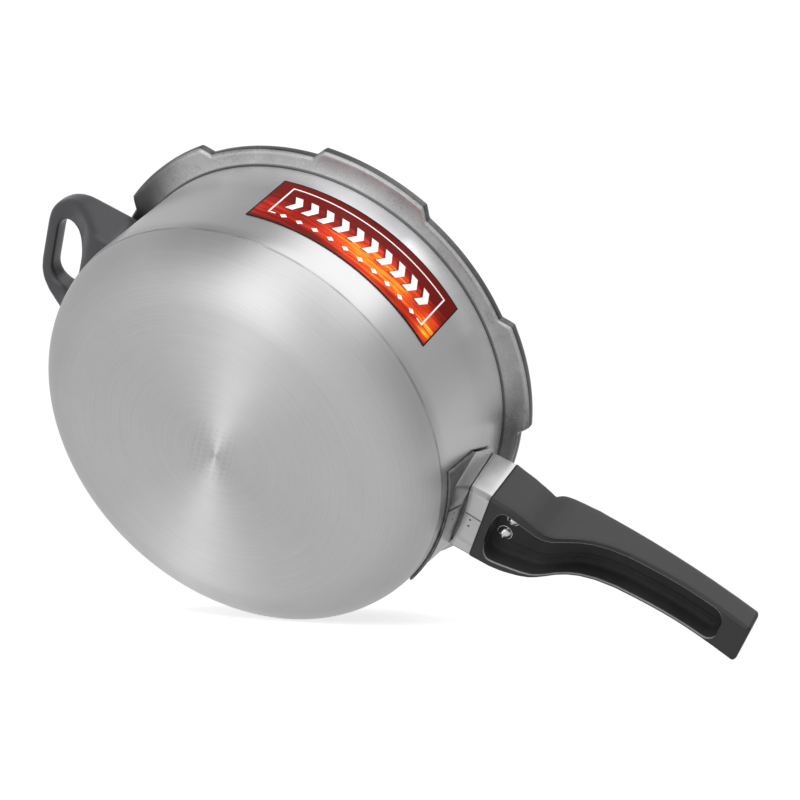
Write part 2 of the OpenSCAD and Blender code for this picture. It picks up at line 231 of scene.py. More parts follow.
class Finish:
    """A material with one Principled shader, and the coordinates its fields start from."""

    def __init__(self, name, colour, metallic=0.0, roughness=0.5, **constants):
        self.material = bpy.data.materials.new(name)
        self.material.use_nodes = True
        self.tree = self.material.node_tree
        self.shader = self.tree.nodes["Principled BSDF"]
        self.shader.inputs["Base Color"].default_value = (*colour, 1)
        self.shader.inputs["Metallic"].default_value = metallic
        self.shader.inputs["Roughness"].default_value = roughness
        for socket, value in constants.items():
            self.shader.inputs[socket.replace("_", " ")].default_value = value
        self.coordinates = self.tree.nodes.new("ShaderNodeTexCoord")
        self.place = self.coordinates.outputs["Object"]
        split = self.tree.nodes.new("ShaderNodeSeparateXYZ")
        self.tree.links.new(self.place, split.inputs[0])
        self.x, self.y, self.z = (Field(self.tree, split.outputs[i]) for i in range(3))

    def radius(self):
        """Distance from the Z axis."""
        return (self.x * self.x + self.y * self.y).math("SQRT")

    def point(self, x, y, z):
        """A place in space from three fields or numbers."""
        node = self.tree.nodes.new("ShaderNodeCombineXYZ")
        for slot, value in enumerate((x, y, z)):
            if isinstance(value, Field):
                self.tree.links.new(value.socket, node.inputs[slot])
            else:
                node.inputs[slot].default_value = value
        return node.outputs[0]

    def noise(self, scale, detail=2.0, roughness=0.5, place=None, along=None):
        """Noise over space, or along one field if that is given."""
        node = self.tree.nodes.new("ShaderNodeTexNoise")
        if along is not None:
            node.noise_dimensions = "1D"
            self.tree.links.new(along.socket, node.inputs["W"])
        else:
            self.tree.links.new(place or self.place, node.inputs["Vector"])
        node.inputs["Scale"].default_value = scale
        node.inputs["Detail"].default_value = detail
        node.inputs["Roughness"].default_value = roughness
        return Field(self.tree, node.outputs[0])

    def mix(self, amount, first, second):
        """A colour between two: each is a colour socket or an (r, g, b) value."""
        node = self.tree.nodes.new("ShaderNodeMix")
        node.data_type = "RGBA"
        self.tree.links.new(amount.socket, node.inputs[0])
        for slot, value in ((6, first), (7, second)):
            if isinstance(value, tuple):
                node.inputs[slot].default_value = (*value, 1)
            else:
                self.tree.links.new(value, node.inputs[slot])
        return node.outputs[2]

    def set_colour(self, socket):
        """Sets the base colour from a colour socket."""
        self.tree.links.new(socket, self.shader.inputs["Base Color"])

    def set_roughness(self, field):
        """Sets the roughness from a field."""
        self.tree.links.new(field.socket, self.shader.inputs["Roughness"])

    def set_bump(self, height, depth, strength=1.0):
        """Bump from a height field whose full swing is `depth` metres."""
        node = self.tree.nodes.new("ShaderNodeBump")
        node.inputs["Distance"].default_value = depth
        node.inputs["Strength"].default_value = strength
        self.tree.links.new(height.socket, node.inputs["Height"])
        self.tree.links.new(node.outputs[0], self.shader.inputs["Normal"])

    def turn_on_lathe(self):
        """Grooves that run round the Z axis stretch the highlight across them."""
        node = self.tree.nodes.new("ShaderNodeTangent")
        node.direction_type = "RADIAL"
        node.axis = "Z"
        self.tree.links.new(node.outputs[0], self.shader.inputs["Tangent"])


# ---- materials ---------------------------------------------------------------


def grey(level):
    """A metal's grey, a touch blue."""
    return (level, level, level * 1.01)


ALUMINIUM = grey(0.62)


def turned_aluminium():
    """The base: turned on a lathe, with fine rings and a few deeper ones."""
    finish = Finish("turned_aluminium", ALUMINIUM, 1.0, 0.42, Anisotropic=0.93, Anisotropic_Rotation=0.25)
    finish.turn_on_lathe()
    radius = finish.radius() + finish.z * 0.9
    fine = finish.noise(2600, 3.0, 0.7, along=radius)
    broad = finish.noise(420, 3.0, 0.6, along=radius)
    cloud = finish.noise(22, 3.0, 0.6)
    arcs = finish.noise(1.0, 3.0, 0.7, place=finish.point(radius * 1900, finish.x * 26, finish.y * 26))
    stamp = stamp_field(finish)
    tone = fine * 0.3 + broad * 0.05 + cloud * 0.3 + arcs * 0.35 - stamp * 0.1
    finish.set_colour(tone.colours([(0.25, grey(0.56)), (0.75, grey(0.70))]))
    finish.set_roughness((cloud * 0.08) + (arcs * 0.06) + 0.35)
    finish.set_bump(fine * 0.3 + broad * 0.03 + arcs * 0.3 + stamp * 1.2, 0.02 * MM, 0.4)
    return finish.material


def stamp_field(finish):
    """A plain stamp near the centre of the base: rows of short bars, with no lettering."""
    bricks = finish.tree.nodes.new("ShaderNodeTexBrick")
    finish.tree.links.new(finish.point(finish.y, finish.x, 0.0), bricks.inputs["Vector"])
    bricks.offset = 0.37
    bricks.inputs["Scale"].default_value = 1.0
    bricks.inputs["Mortar Size"].default_value = 0.9 * MM
    bricks.inputs["Mortar Smooth"].default_value = 0.4
    bricks.inputs["Brick Width"].default_value = 3.4 * MM
    bricks.inputs["Row Height"].default_value = 3.6 * MM
    bars = Field(finish.tree, bricks.outputs["Fac"])
    wide = finish.y.abs().ramp(17 * MM, 16 * MM)
    tall = (finish.x + 2 * MM).abs().ramp(11 * MM, 10.4 * MM)
    return (bars * -1.0 + 1.0) * wide * tall


def polished_wall():
    """The wall: bright, with the faint circular grain that polishing leaves, and a painted highlight that
    lightens its colour towards the rim.
    """
    finish = Finish("polished_wall", ALUMINIUM, 1.0, 0.3, Anisotropic=0.9, Anisotropic_Rotation=0.25)
    finish.turn_on_lathe()
    grain = finish.noise(1500, 3.0, 0.6, along=finish.z)
    haze = finish.noise(16, 2.0, 0.5)
    joint = finish.z.ramp(POLISH_Z + 1.3 * MM, POLISH_Z + 0.2 * MM) * finish.noise(60, 2.0).ramp(0.1, 0.6)
    plain = (grain * 0.3 + haze * 0.5).colours([(0.2, grey(0.60)), (0.65, grey(0.68))])
    # painted highlight: the wall's colour turns near white towards the rim, standing in for reflected light
    painted_highlight_near_rim = finish.z.ramp(RIM_LOW - 26 * MM, RIM_LOW - 4 * MM)
    grain_and_painted_highlight = finish.mix(painted_highlight_near_rim, plain, grey(0.97))
    finish.set_colour(finish.mix(joint, grain_and_painted_highlight, grey(0.36)))
    finish.set_roughness(haze * 0.08 + grain * 0.04 + 0.22)
    finish.set_bump(grain, 0.004 * MM, 0.4)
    return finish.material


def blasted_rim(name, low, high):
    """The rim's matte blasted skin, with painted shade in the corner along the wall and painted shade towards
    the helper handle.
    """
    middle = (low + high) / 2
    finish = Finish(name, grey(middle), 1.0, 0.4)
    grit = finish.noise(850, 2.0, 0.7)
    patch = finish.noise(60, 4.0, 0.65)
    skin = (grit * 0.4 + patch * 0.6).colours([(0.32, grey(low)), (0.5, grey(middle)), (0.68, grey(high))])
    by_wall = finish.radius().ramp(WALL_R + 1.4 * MM, WALL_R + 0.6 * MM)
    # painted shade: the corner where the rim meets the wall turns dark grey
    corner = by_wall * finish.z.ramp(RIM_TOP - MM, RIM_LOW + MM)
    # painted shade: the rim's skin darkens towards the helper handle
    painted_helper_shade = finish.x.ramp(-86 * MM, -108 * MM, 0.0, 0.8)
    skin = finish.mix(painted_helper_shade, skin, grey(0.1))
    finish.set_colour(finish.mix(corner, skin, grey(0.16)))
    finish.set_roughness(patch * 0.25 + 0.28)
    finish.set_bump(grit * 0.5 + patch, 0.12 * MM, 0.5)
    return finish.material


def pan_inside():
    """The inside: satin, with the marks of spinning."""
    finish = Finish("pan_inside", ALUMINIUM, 1.0, 0.36, Anisotropic=0.7, Anisotropic_Rotation=0.25)
    finish.turn_on_lathe()
    rings = finish.noise(900, 3.0, 0.6, along=finish.radius() - finish.z)
    haze = finish.noise(18, 3.0, 0.5)
    finish.set_colour((rings * 0.4 + haze * 0.6).colours([(0.3, grey(0.56)), (0.7, grey(0.68))]))
    finish.set_roughness(haze * 0.1 + 0.3)
    finish.set_bump(rings, 0.01 * MM, 0.5)
    return finish.material


def phenolic(name="phenolic", tone=0.8, gloss=0.24, shine=0.5):
    """Moulded phenolic: near black, satin, with a very fine skin. Its tone scales its grey."""
    finish = Finish(name, grey(0.016 * tone), 0.0, 0.36, IOR=1.46, Specular_IOR_Level=shine)
    skin = finish.noise(1400, 2.0, 0.6)
    wear = finish.noise(35, 4.0, 0.6)
    dark, pale = grey(0.012 * tone), grey(0.019 * tone)
    finish.set_colour((skin * 0.3 + wear * 0.7).colours([(0.3, dark), (0.7, pale)]))
    finish.set_roughness(wear * 0.12 + skin * 0.05 + gloss)
    finish.set_bump(skin, 0.02 * MM, 0.35)
    return finish.material


def bright_steel(name="bright_steel", grain_axis="y", smoothness=0.14, colour=grey(0.66)):
    """Rolled and polished sheet, with a fine grain and finger haze."""
    finish = Finish(name, colour, 1.0, smoothness)
    along = {"x": finish.x, "y": finish.y, "z": finish.z}[grain_axis]
    grain = finish.noise(2200, 2.0, 0.6, along=along)
    haze = finish.noise(70, 3.0, 0.6)
    low = tuple(c * 0.88 for c in colour)
    high = tuple(c * 1.08 for c in colour)
    finish.set_colour((grain * 0.35 + haze * 0.65).colours([(0.3, low), (0.7, high)]))
    finish.set_roughness(haze * 0.16 + grain * 0.05 + smoothness - 0.06)
    finish.set_bump(grain * 0.5 + haze, 0.02 * MM, 0.35)
    return finish.material


def collar_steel():
    """The collars' sheet: bright, a little hazy, with painted shade along the bends of its lower corners."""
    finish = Finish("collar_steel", grey(0.52), 1.0, 0.2)
    grain = finish.noise(2200, 2.0, 0.6, along=finish.y)
    haze = finish.noise(55, 3.0, 0.6)
    sheet = (grain * 0.35 + haze * 0.65).colours([(0.3, grey(0.46)), (0.7, grey(0.58))])
    side = finish.y.abs().ramp(NECK_W - 2.0 * MM, NECK_W - 1.7 * MM)
    low = finish.z.ramp(NECK_LOW + 2.5 * MM, NECK_LOW + 2.2 * MM)
    # painted shade: the bends of the lower corners turn dark grey
    painted_bend_shade = side * low * finish.x.ramp(112.4 * MM, 112.8 * MM)
    finish.set_colour(finish.mix(painted_bend_shade, sheet, grey(0.27)))
    finish.set_roughness(haze * 0.16 + grain * 0.05 + 0.2)
    finish.set_bump(grain * 0.5 + haze, 0.02 * MM, 0.3)
    return finish.material


def cast_metal():
    """Dark cast saddle with a grainy skin."""
    finish = Finish("cast_metal", grey(0.12), 0.85, 0.45)
    grain = finish.noise(700, 3.0, 0.7)
    cloud = finish.noise(60, 3.0)
    finish.set_colour((grain * 0.4 + cloud * 0.6).colours([(0.3, grey(0.07)), (0.7, grey(0.20))]))
    finish.set_roughness(cloud * 0.2 + 0.36)
    finish.set_bump(grain, 0.12 * MM, 0.5)
    return finish.material


def printed_label(width, height):
    """A printed sticker: flames on dark red, a black border, a white frame, and a row of chevrons over beads.

    Its fields u and v run along and up the sticker, and it is drawn in millimetres.
    """
    finish = Finish("printed_label", (0.5, 0.05, 0.02), 0.0, 0.3, Specular_IOR_Level=0.06)
    split = finish.tree.nodes.new("ShaderNodeSeparateXYZ")
    finish.tree.links.new(finish.coordinates.outputs["UV"], split.inputs[0])
    u = Field(finish.tree, split.outputs[0]) * (width / MM)
    v = Field(finish.tree, split.outputs[1]) * (height / MM)
    w, h = width / MM, height / MM
    sweep = v + (u * (math.pi / w)).sin() * 6.0
    swirl = finish.noise(1.0, 3.0, 0.6, place=finish.point(u * 0.035, sweep * 0.20, 0.0))
    streak = finish.noise(1.0, 2.0, 0.5, place=finish.point(u * 0.02, sweep * 0.42, 3.0))
    glow = (v - h * 0.3).abs().ramp(h * 0.6, 0.0)
    hot = (u - w * 0.62).abs().ramp(w * 0.42, 0.0) * glow * 0.5
    corner = (u - w * 0.97).abs().ramp(w * 0.12, 0.0) * (v - h * 0.18).abs().ramp(h * 0.45, 0.0) * 0.45
    heat = glow * 0.46 + swirl * 0.95 + streak * 0.75 + hot + corner - 1.0
    flames = heat.colours([
        (0.05, (0.15, 0.006, 0.004)), (0.25, (0.28, 0.012, 0.006)), (0.45, (0.55, 0.03, 0.008)),
        (0.62, (0.78, 0.075, 0.012)), (0.78, (0.95, 0.30, 0.02)), (0.94, (1.0, 0.66, 0.10))])

    from_middle = u - w * 0.5
    pitch, soft = 8.4, 0.1
    half_row = pitch * 5
    row_ends = from_middle.abs().ramp(half_row + soft, half_row - soft)
    frame_middle, frame_half_w, frame_half_h = h * 0.53, w * 0.425, h * 0.33
    border = 0.9

    def chevrons(shift):
        """A row of arrowheads, moved down and back by shift."""
        half_h, half_t, point = 5.4, 1.9, 1.4
        up = (v - h * 0.54 + shift).abs()
        across = ((from_middle + shift) * (1 / pitch)).fract() * pitch - pitch * 0.5
        bar = (across + up * 0.5 - point).abs() - half_t
        return bar.most(up - half_h).ramp(0.2, -0.2) * row_ends

    def beads(shift):
        """A row of small diamonds under the arrowheads, moved down by shift."""
        half_w, reach = 1.6, 7.0
        across = ((from_middle * (1 / pitch)).fract() - 0.5).abs() * reach
        return (across + (v - h * 0.2 + shift).abs()).ramp(half_w + 0.15, half_w - 0.15) * row_ends

    def frame_line():
        """A thin frame that is open along the beads."""
        side = from_middle.abs() - frame_half_w
        top = (v - frame_middle).abs() - frame_half_h
        opened = (v - frame_middle).ramp(-h * 0.2, -h * 0.22) * row_ends
        return side.most(top).abs().ramp(0.5, 0.28) * (opened * -1.0 + 1.0)

    shade = chevrons(0.9).most(beads(0.5)) * 0.75
    white = chevrons(0.0).most(beads(0.0)).most(frame_line())
    edge = (from_middle.abs() - w * 0.5).most((v - h * 0.5).abs() - h * 0.5) + border
    colour = finish.mix(shade, flames, (0.06, 0.008, 0.008))
    colour = finish.mix(white, colour, (0.93, 0.92, 0.91))
    colour = finish.mix(edge.ramp(-0.15, 0.25), colour, (0.015, 0.014, 0.014))
    finish.set_colour(colour)
    finish.set_roughness(finish.noise(120, 2.0) * 0.1 + 0.16)
    finish.set_bump(finish.noise(260, 2.0), 0.02 * MM, 0.3)
    return finish.material


# ---- pan ---------------------------------------------------------------------


def rim_reach(turn):
    """Radius of the rim's edge at a turn in degrees."""
    pitch = 360 / LUGS
    off = abs((turn - LUG_TURN + pitch / 2) % pitch - pitch / 2)
    t = min(max((off - LUG_HALF) / LUG_RAMP, 0.0), 1.0)
    return LUG_R + (NOTCH_R - LUG_R) * (0.6 * t + 0.4 * smooth_step(t))


def pan_turns():
    """Turns of the pan's sections: one a degree, and more of them round the lugs' ends."""
    turns = set(range(360))
    for i in range(LUGS):
        for side in (-1, 1):
            for off in (-0.4, 0, 0.35, 1.3, 2.25, 2.6, 3.0):
                turns.add(round((LUG_TURN + i * 360 / LUGS + side * (LUG_HALF + off)) % 360, 3))
    turns = sorted(turns)
    return [t for t, following in zip(turns, turns[1:] + [361]) if following - t > 0.12]


def pan_section():
    """The pan's half section as (radius, height, follows the lugs), and the zone after each point."""
    groove_turn = math.degrees(math.asin((POLISH_Z - CORNER_R) / CORNER_R))
    corner = (FLAT_R, CORNER_R)
    inner_corner_r = CORNER_R - WALL_T
    inner_corner = (BORE_R - inner_corner_r, BASE_T + inner_corner_r)
    outer = [
        ("base", line((0, 0), (FLAT_R, 0), 16)[:-1] + arc(corner, CORNER_R, -90, groove_turn - 0.5, 22)),
        ("wall", arc(corner, CORNER_R - 0.14 * MM, groove_turn - 0.3, groove_turn + 0.3, 2)),
        ("wall", arc(corner, CORNER_R, groove_turn + 0.6, 0, 5)),
        ("wall", line((WALL_R, CORNER_R + 2 * MM), (WALL_R, RIM_LOW - FILLET_R), 10)),
        ("rim", arc((WALL_R + FILLET_R, RIM_LOW - FILLET_R), FILLET_R, 180, 95, 8)[1:]),
    ]
    b = RIM_BEVEL
    outside = range(4, 7)
    edge = [(-3.0 * MM, 0.0), (-b - 0.25 * MM, 0.0), (-b + 0.1 * MM, 0.12 * MM), (-0.18 * MM, b - 0.18 * MM),
            (0.0, b + 0.25 * MM), (0.0, RIM_T - b - 0.2 * MM), (-0.2 * MM, RIM_T - b + 0.25 * MM),
            (-b + 0.2 * MM, RIM_T - 0.12 * MM), (-b - 0.3 * MM, RIM_T)]
    inner = [
        ("inside", arc((BORE_R + 1.2 * MM, RIM_TOP - 1.2 * MM), 1.2 * MM, 90, 180, 6)),
        ("inside", line((BORE_R, RIM_TOP - 4 * MM), (BORE_R, inner_corner[1]), 10)),
        ("inside", arc(inner_corner, inner_corner_r, 0, -90, 18)[1:]),
        ("inside", line((inner_corner[0], BASE_T), (0, BASE_T), 12)[1:]),
    ]
    section = [(r, z, False, zone) for zone, points in outer for r, z in points]
    section += [(r, RIM_LOW + z, True, "edge" if i in outside else "rim") for i, (r, z) in enumerate(edge)]
    section += [(r, z, False, zone) for zone, points in inner for r, z in points]
    return section


def pan_body():
    """The pan in one skin: its half section turned round the axis, with the rim's edge on the lugs."""
    zones = {"base": 0, "wall": 1, "rim": 2, "inside": 3, "edge": 4}
    section = pan_section()
    turns = pan_turns()
    points = []
    for turn in turns:
        reach = rim_reach(turn)
        c, s = math.cos(math.radians(turn)), math.sin(math.radians(turn))
        for r, z, follows, _ in section:
            r = reach + r if follows else r
            points.append((r * c, r * s, z))
    size = len(section)
    faces, face_zone = [], []
    for i in range(len(turns)):
        a, b = i * size, (i + 1) % len(turns) * size
        for j in range(size - 1):
            if j == 0:
                faces.append((0, b + 1, a + 1))
            elif j == size - 2:
                faces.append((a + j, b + j, size - 1))
            else:
                faces.append((a + j, b + j, b + j + 1, a + j + 1))
            face_zone.append(zones[section[j + 1][3]])
    # the rim's outer edge takes a much darker copy of the blasted rim: painted shade
    materials = [turned_aluminium(), polished_wall(), blasted_rim("blasted_rim", 0.36, 0.62), pan_inside(),
                 blasted_rim("rim_edge_painted_shade", 0.07, 0.18)]
    piece = make_piece("pan_shell", points, faces, materials, sharp=40, face_zone=face_zone)
    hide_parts("pan_body")


def wall_label():
    """The sticker: a thin sheet round the wall, with UVs that run along it and up it."""
    points = cad_points("wall_label")
    radii = np.hypot(points[:, 0], points[:, 1])
    turns = np.unwrap(np.arctan2(points[:, 1], points[:, 0]))
    first, last = turns.min(), turns.max()
    low, high = points[:, 2].min(), points[:, 2].max()
    outer = radii.max() - 0.02 * MM
    inner = radii.min()
    columns, rows = 140, 8
    grid = []
    for r in (outer, inner):
        for i in range(columns + 1):
            turn = first + (last - first) * i / columns
            for j in range(rows + 1):
                grid.append((r * math.cos(turn), r * math.sin(turn), low + (high - low) * j / rows))
    side = (columns + 1) * (rows + 1)

    def at(i, j, layer=0):
        """Index of the point in column i and row j of the outer (0) or inner (1) layer."""
        return layer * side + i * (rows + 1) + j

    faces = []
    for i in range(columns):
        for j in range(rows):
            faces.append((at(i, j), at(i + 1, j), at(i + 1, j + 1), at(i, j + 1)))
            faces.append((at(i, j, 1), at(i, j + 1, 1), at(i + 1, j + 1, 1), at(i + 1, j, 1)))
        for j in (0, rows):
            faces.append((at(i, j), at(i + 1, j), at(i + 1, j, 1), at(i, j, 1)))
    for i in (0, columns):
        for j in range(rows):
            faces.append((at(i, j), at(i, j + 1), at(i, j + 1, 1), at(i, j, 1)))
    label = printed_label((last - first) * outer, high - low)
    piece = make_piece("wall_sticker", grid, faces, [label], sharp=30)
    uv = piece.data.uv_layers.new(name="label")
    for loop in piece.data.loops:
        p = piece.data.vertices[loop.vertex_index].co
        turn = math.atan2(p.y, p.x)
        uv.data[loop.index].uv = ((turn - first) / (last - first), (p.z - low) / (high - low))
    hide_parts("wall_label")


# ---- long handle -----------------------------------------------------------------

GRIP_TIP = 2.0 * MM
GRIP_CROWN = 0.5 * MM
HOLLOW_START = 5 * MM
HOLLOW_END = 13.5 * MM
HOLLOW_NARROW = 0.35
NECK_END = 16 * MM
GRIP_START = 40 * MM
ROOF_T = 4 * MM


def half_section(w, low, high, top_r, low_r, hollow_w, hollow_d):
    """Half of the handle's section at y >= 0, from the middle of the underside round to the top.

    Also gives the count of points in the hollow and the count up to the end of its lip.
    """
    scale = min(hollow_d / (8 * MM), 1.0)
    roof_r, lip_r = 2.4 * MM * scale, 0.6 * MM * scale
    roof = low + hollow_d
    rib_y, rib_w, rib_h = hollow_w * 0.5, 0.3 * MM * scale, 0.6 * MM * scale
    points = line((0, roof), (rib_y - 2 * rib_w, roof), 3)
    points += [(rib_y - rib_w, roof - rib_h), (rib_y, roof - rib_h), (rib_y + rib_w, roof - rib_h)]
    points += line((rib_y + 2 * rib_w, roof), (hollow_w - roof_r, roof), 3)
    points += arc((hollow_w - roof_r, roof - roof_r), roof_r, 90, 0, 6)[1:]
    points += line((hollow_w, roof - roof_r), (hollow_w, low + lip_r), 4)[1:]
    hollow_points = len(points)
    points += arc((hollow_w + lip_r, low + lip_r), lip_r, 180, 270, 4)[1:]
    lip_points = len(points)
    points += line((hollow_w + lip_r, low), (w - low_r, low), 3)[1:]
    points += arc((w - low_r, low + low_r), low_r, -90, 0, 8)[1:]
    points += line((w, low + low_r), (w, high - top_r - GRIP_CROWN), 8)[1:]
    points += arc((w - top_r, high - top_r - GRIP_CROWN), top_r, 0, 90, 10)[1:]
    flat = w - top_r
    points += [(flat * (1 - t), high - GRIP_CROWN * (1 - t) ** 2) for t in (0.2, 0.4, 0.6, 0.8, 1.0)]
    return points, hollow_points, lip_points


def long_handle():
    """The moulded handle: a loft along X through sections read from the CAD solid, with its hollow."""
    edges = cad_edges("long_handle")
    low_corner, high_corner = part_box("long_handle")
    near, far = low_corner.x, high_corner.x
    hollow_near, hollow_far = near + HOLLOW_START, far - HOLLOW_END
    neck_far, grip_near = near + NECK_END, near + GRIP_START
    screw_head_h = 2.8 * MM
    hollow_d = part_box("front_handle_screw")[0].z + screw_head_h - low_corner.z

    stations = [near, near + 0.3 * MM, near + 0.9 * MM]
    body_near, body_far = near + 1.8 * MM, far - GRIP_TIP
    stations += [body_near + (body_far - body_near) * i / 150 for i in range(151)]
    for k in (0.02, 0.1, 0.25, 0.5, 0.8, 1.2, 1.7, 2.3, 3.0):
        stations += [hollow_near + k * MM, hollow_far - k * MM]
    stations += [far - GRIP_TIP * (1 - math.sin(math.radians(a))) for a in (15, 30, 45, 60, 75, 85)]
    stations = sorted(stations)

    margin = 0.15 * MM
    boxes = np.array([section_box(edges, min(max(x, near + margin), far - 1.7 * MM)) for x in stations])
    spread = 0.5 * MM
    at = np.array(stations)
    smooth = np.empty_like(boxes)
    for i, x in enumerate(stations):
        weight = np.exp(-0.5 * ((at - x) / spread) ** 2)
        weight[(at - x) ** 2 > min(x - near, far - x, 3 * spread) ** 2 + 1e-12] = 0
        smooth[i] = (boxes * weight[:, None]).sum(0) / weight.sum()

    rings = []
    for x, (w, low, high) in zip(stations, smooth):
        neck = smooth_step((x - neck_far) / (grip_near - neck_far))
        top_r = (1.6 + 0.8 * neck) * MM
        low_r = (1.8 - 0.4 * neck) * MM
        lip = (4.6 - 2.5 * neck) * MM
        inside = min(x - hollow_near, hollow_far - x)
        round_near, round_far = 5 * MM, 6 * MM
        t = min((x - hollow_near) / round_near, (hollow_far - x) / round_far, 1.0)
        hollow_w = max(w - lip, 1 * MM)
        depth = 0.0
        if inside > 0:
            hollow_w *= HOLLOW_NARROW + (1 - HOLLOW_NARROW) * math.sqrt(max(1 - (1 - t) ** 2, 0.0))
            full = min(hollow_d, high - low - ROOF_T)
            wall = min(inside / (1.6 * MM), 1.0)
            depth = full * math.sqrt(1 - (1 - wall) ** 2)
        else:
            hollow_w *= HOLLOW_NARROW
        end = max(x - (far - GRIP_TIP), 0.0)
        inset = GRIP_TIP - math.sqrt(max(GRIP_TIP ** 2 - end ** 2, 0.0))
        inset += max(0.35 * MM - (x - near), 0.0)
        half, hollow_points, lip_points = half_section(
            w - inset, low + inset, high - inset, top_r, low_r, hollow_w, depth)
        ring = [(x, y, z) for y, z in half]
        ring += [(x, -y, z) for y, z in reversed(half[1:-1])]
        rings.append(ring)
    size = len(rings[0])
    points = [p for ring in rings for p in ring]
    faces = loft_faces(len(rings), size)
    zones = []
    for i in range(len(rings) - 1):
        in_hollow = hollow_near < stations[i] and stations[i + 1] < hollow_far
        for j in range(size):
            step = min(j, size - 1 - j)
            zone = 1 if step < hollow_points - 1 else 2 if step < lip_points - 1 else 0
            zones.append(zone if in_hollow else 0)
    faces += [tuple(range(size)), tuple(range(len(points) - size, len(points)))]
    zones += [0, 0]
    # the hollow takes a lighter copy of the phenolic, painted light, and the lip a much lighter copy, a
    # painted highlight
    skins = [phenolic(), phenolic("phenolic_hollow_painted_light", 2.0, 0.5, 0.12), phenolic("phenolic_lip_painted_highlight", 12.0, 0.1)]
    piece = make_piece("long_grip", points, faces, skins, sharp=50, face_zone=zones)
    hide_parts("long_handle")


# ---- rounded castings and mouldings -------------------------------------------------


def softened(name, node, material, voxel, passes):
    """A piece with the CAD node's shape and softly rounded edges."""
    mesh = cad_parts[node].data.copy()
    mesh.name = name
    mesh.materials.clear()
    mesh.materials.append(material)
    piece = bpy.data.objects.new(name, mesh)
    bpy.context.scene.collection.objects.link(piece)
    remesh = piece.modifiers.new("skin", "REMESH")
    remesh.mode = "VOXEL"
    remesh.voxel_size = voxel
    remesh.use_smooth_shade = True
    relax = piece.modifiers.new("relax", "SMOOTH")
    relax.factor = 0.5
    relax.iterations = passes
    graph = bpy.context.evaluated_depsgraph_get()
    made = bpy.data.meshes.new_from_object(piece.evaluated_get(graph))
    piece.modifiers.clear()
    piece.data = made
    made.materials.clear()
    made.materials.append(material)
    made.shade_smooth()
    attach(piece, "root")
    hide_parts(node)


# ---- collars -----------------------------------------------------------------------

SHEET_T = 1.2 * MM
neck_low, neck_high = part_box("flame_guard")
NECK_W = neck_high.y
NECK_LOW, NECK_TOP = neck_low.z, neck_high.z
SEAM_LOW = 46 * MM
FOOT_R = WALL_R + 1.65 * MM
BAND_R = 113.9 * MM
GUARD_R = 114.3 * MM
GAP_LEAN = 0.06
LAP_W = 18 * MM
LAP_T = 0.45 * MM


def rounded_outline(corners, radius, steps=5, spans=5):
    """A closed outline in Y and Z through rounded corners, with the same count of points for each corner."""
    outline = []
    count = len(corners)
    for i in range(count):
        before, here, after = (Vector(corners[(i + k) % count]) for k in (-1, 0, 1))
        a = here + (before - here).normalized() * radius
        b = here + (after - here).normalized() * radius
        for j in range(steps + 1):
            t = j / steps
            outline.append(a * (1 - t) ** 2 + here * 2 * t * (1 - t) + b * t * t)
        following = Vector(corners[(i + 2) % count])
        c = after + (here - after).normalized() * radius
        outline += [b.lerp(c, k / spans) for k in range(1, spans)]
    return outline


def mirrored(half):
    """A closed outline's corners from those on the +Y side, which run upwards."""
    return half + [(-y, z) for y, z in reversed(half)]


NECK_HALF = [(NECK_W - 1.5 * MM, NECK_LOW), (NECK_W, NECK_LOW + 1.7 * MM),
             (NECK_W, NECK_TOP - 2 * MM), (NECK_W - 1.8 * MM, NECK_TOP)]
FLARED_HALF = [(17.6 * MM, 28.1 * MM), (26.5 * MM, 33.2 * MM), (31.8 * MM, 56 * MM), (21 * MM, NECK_TOP)]


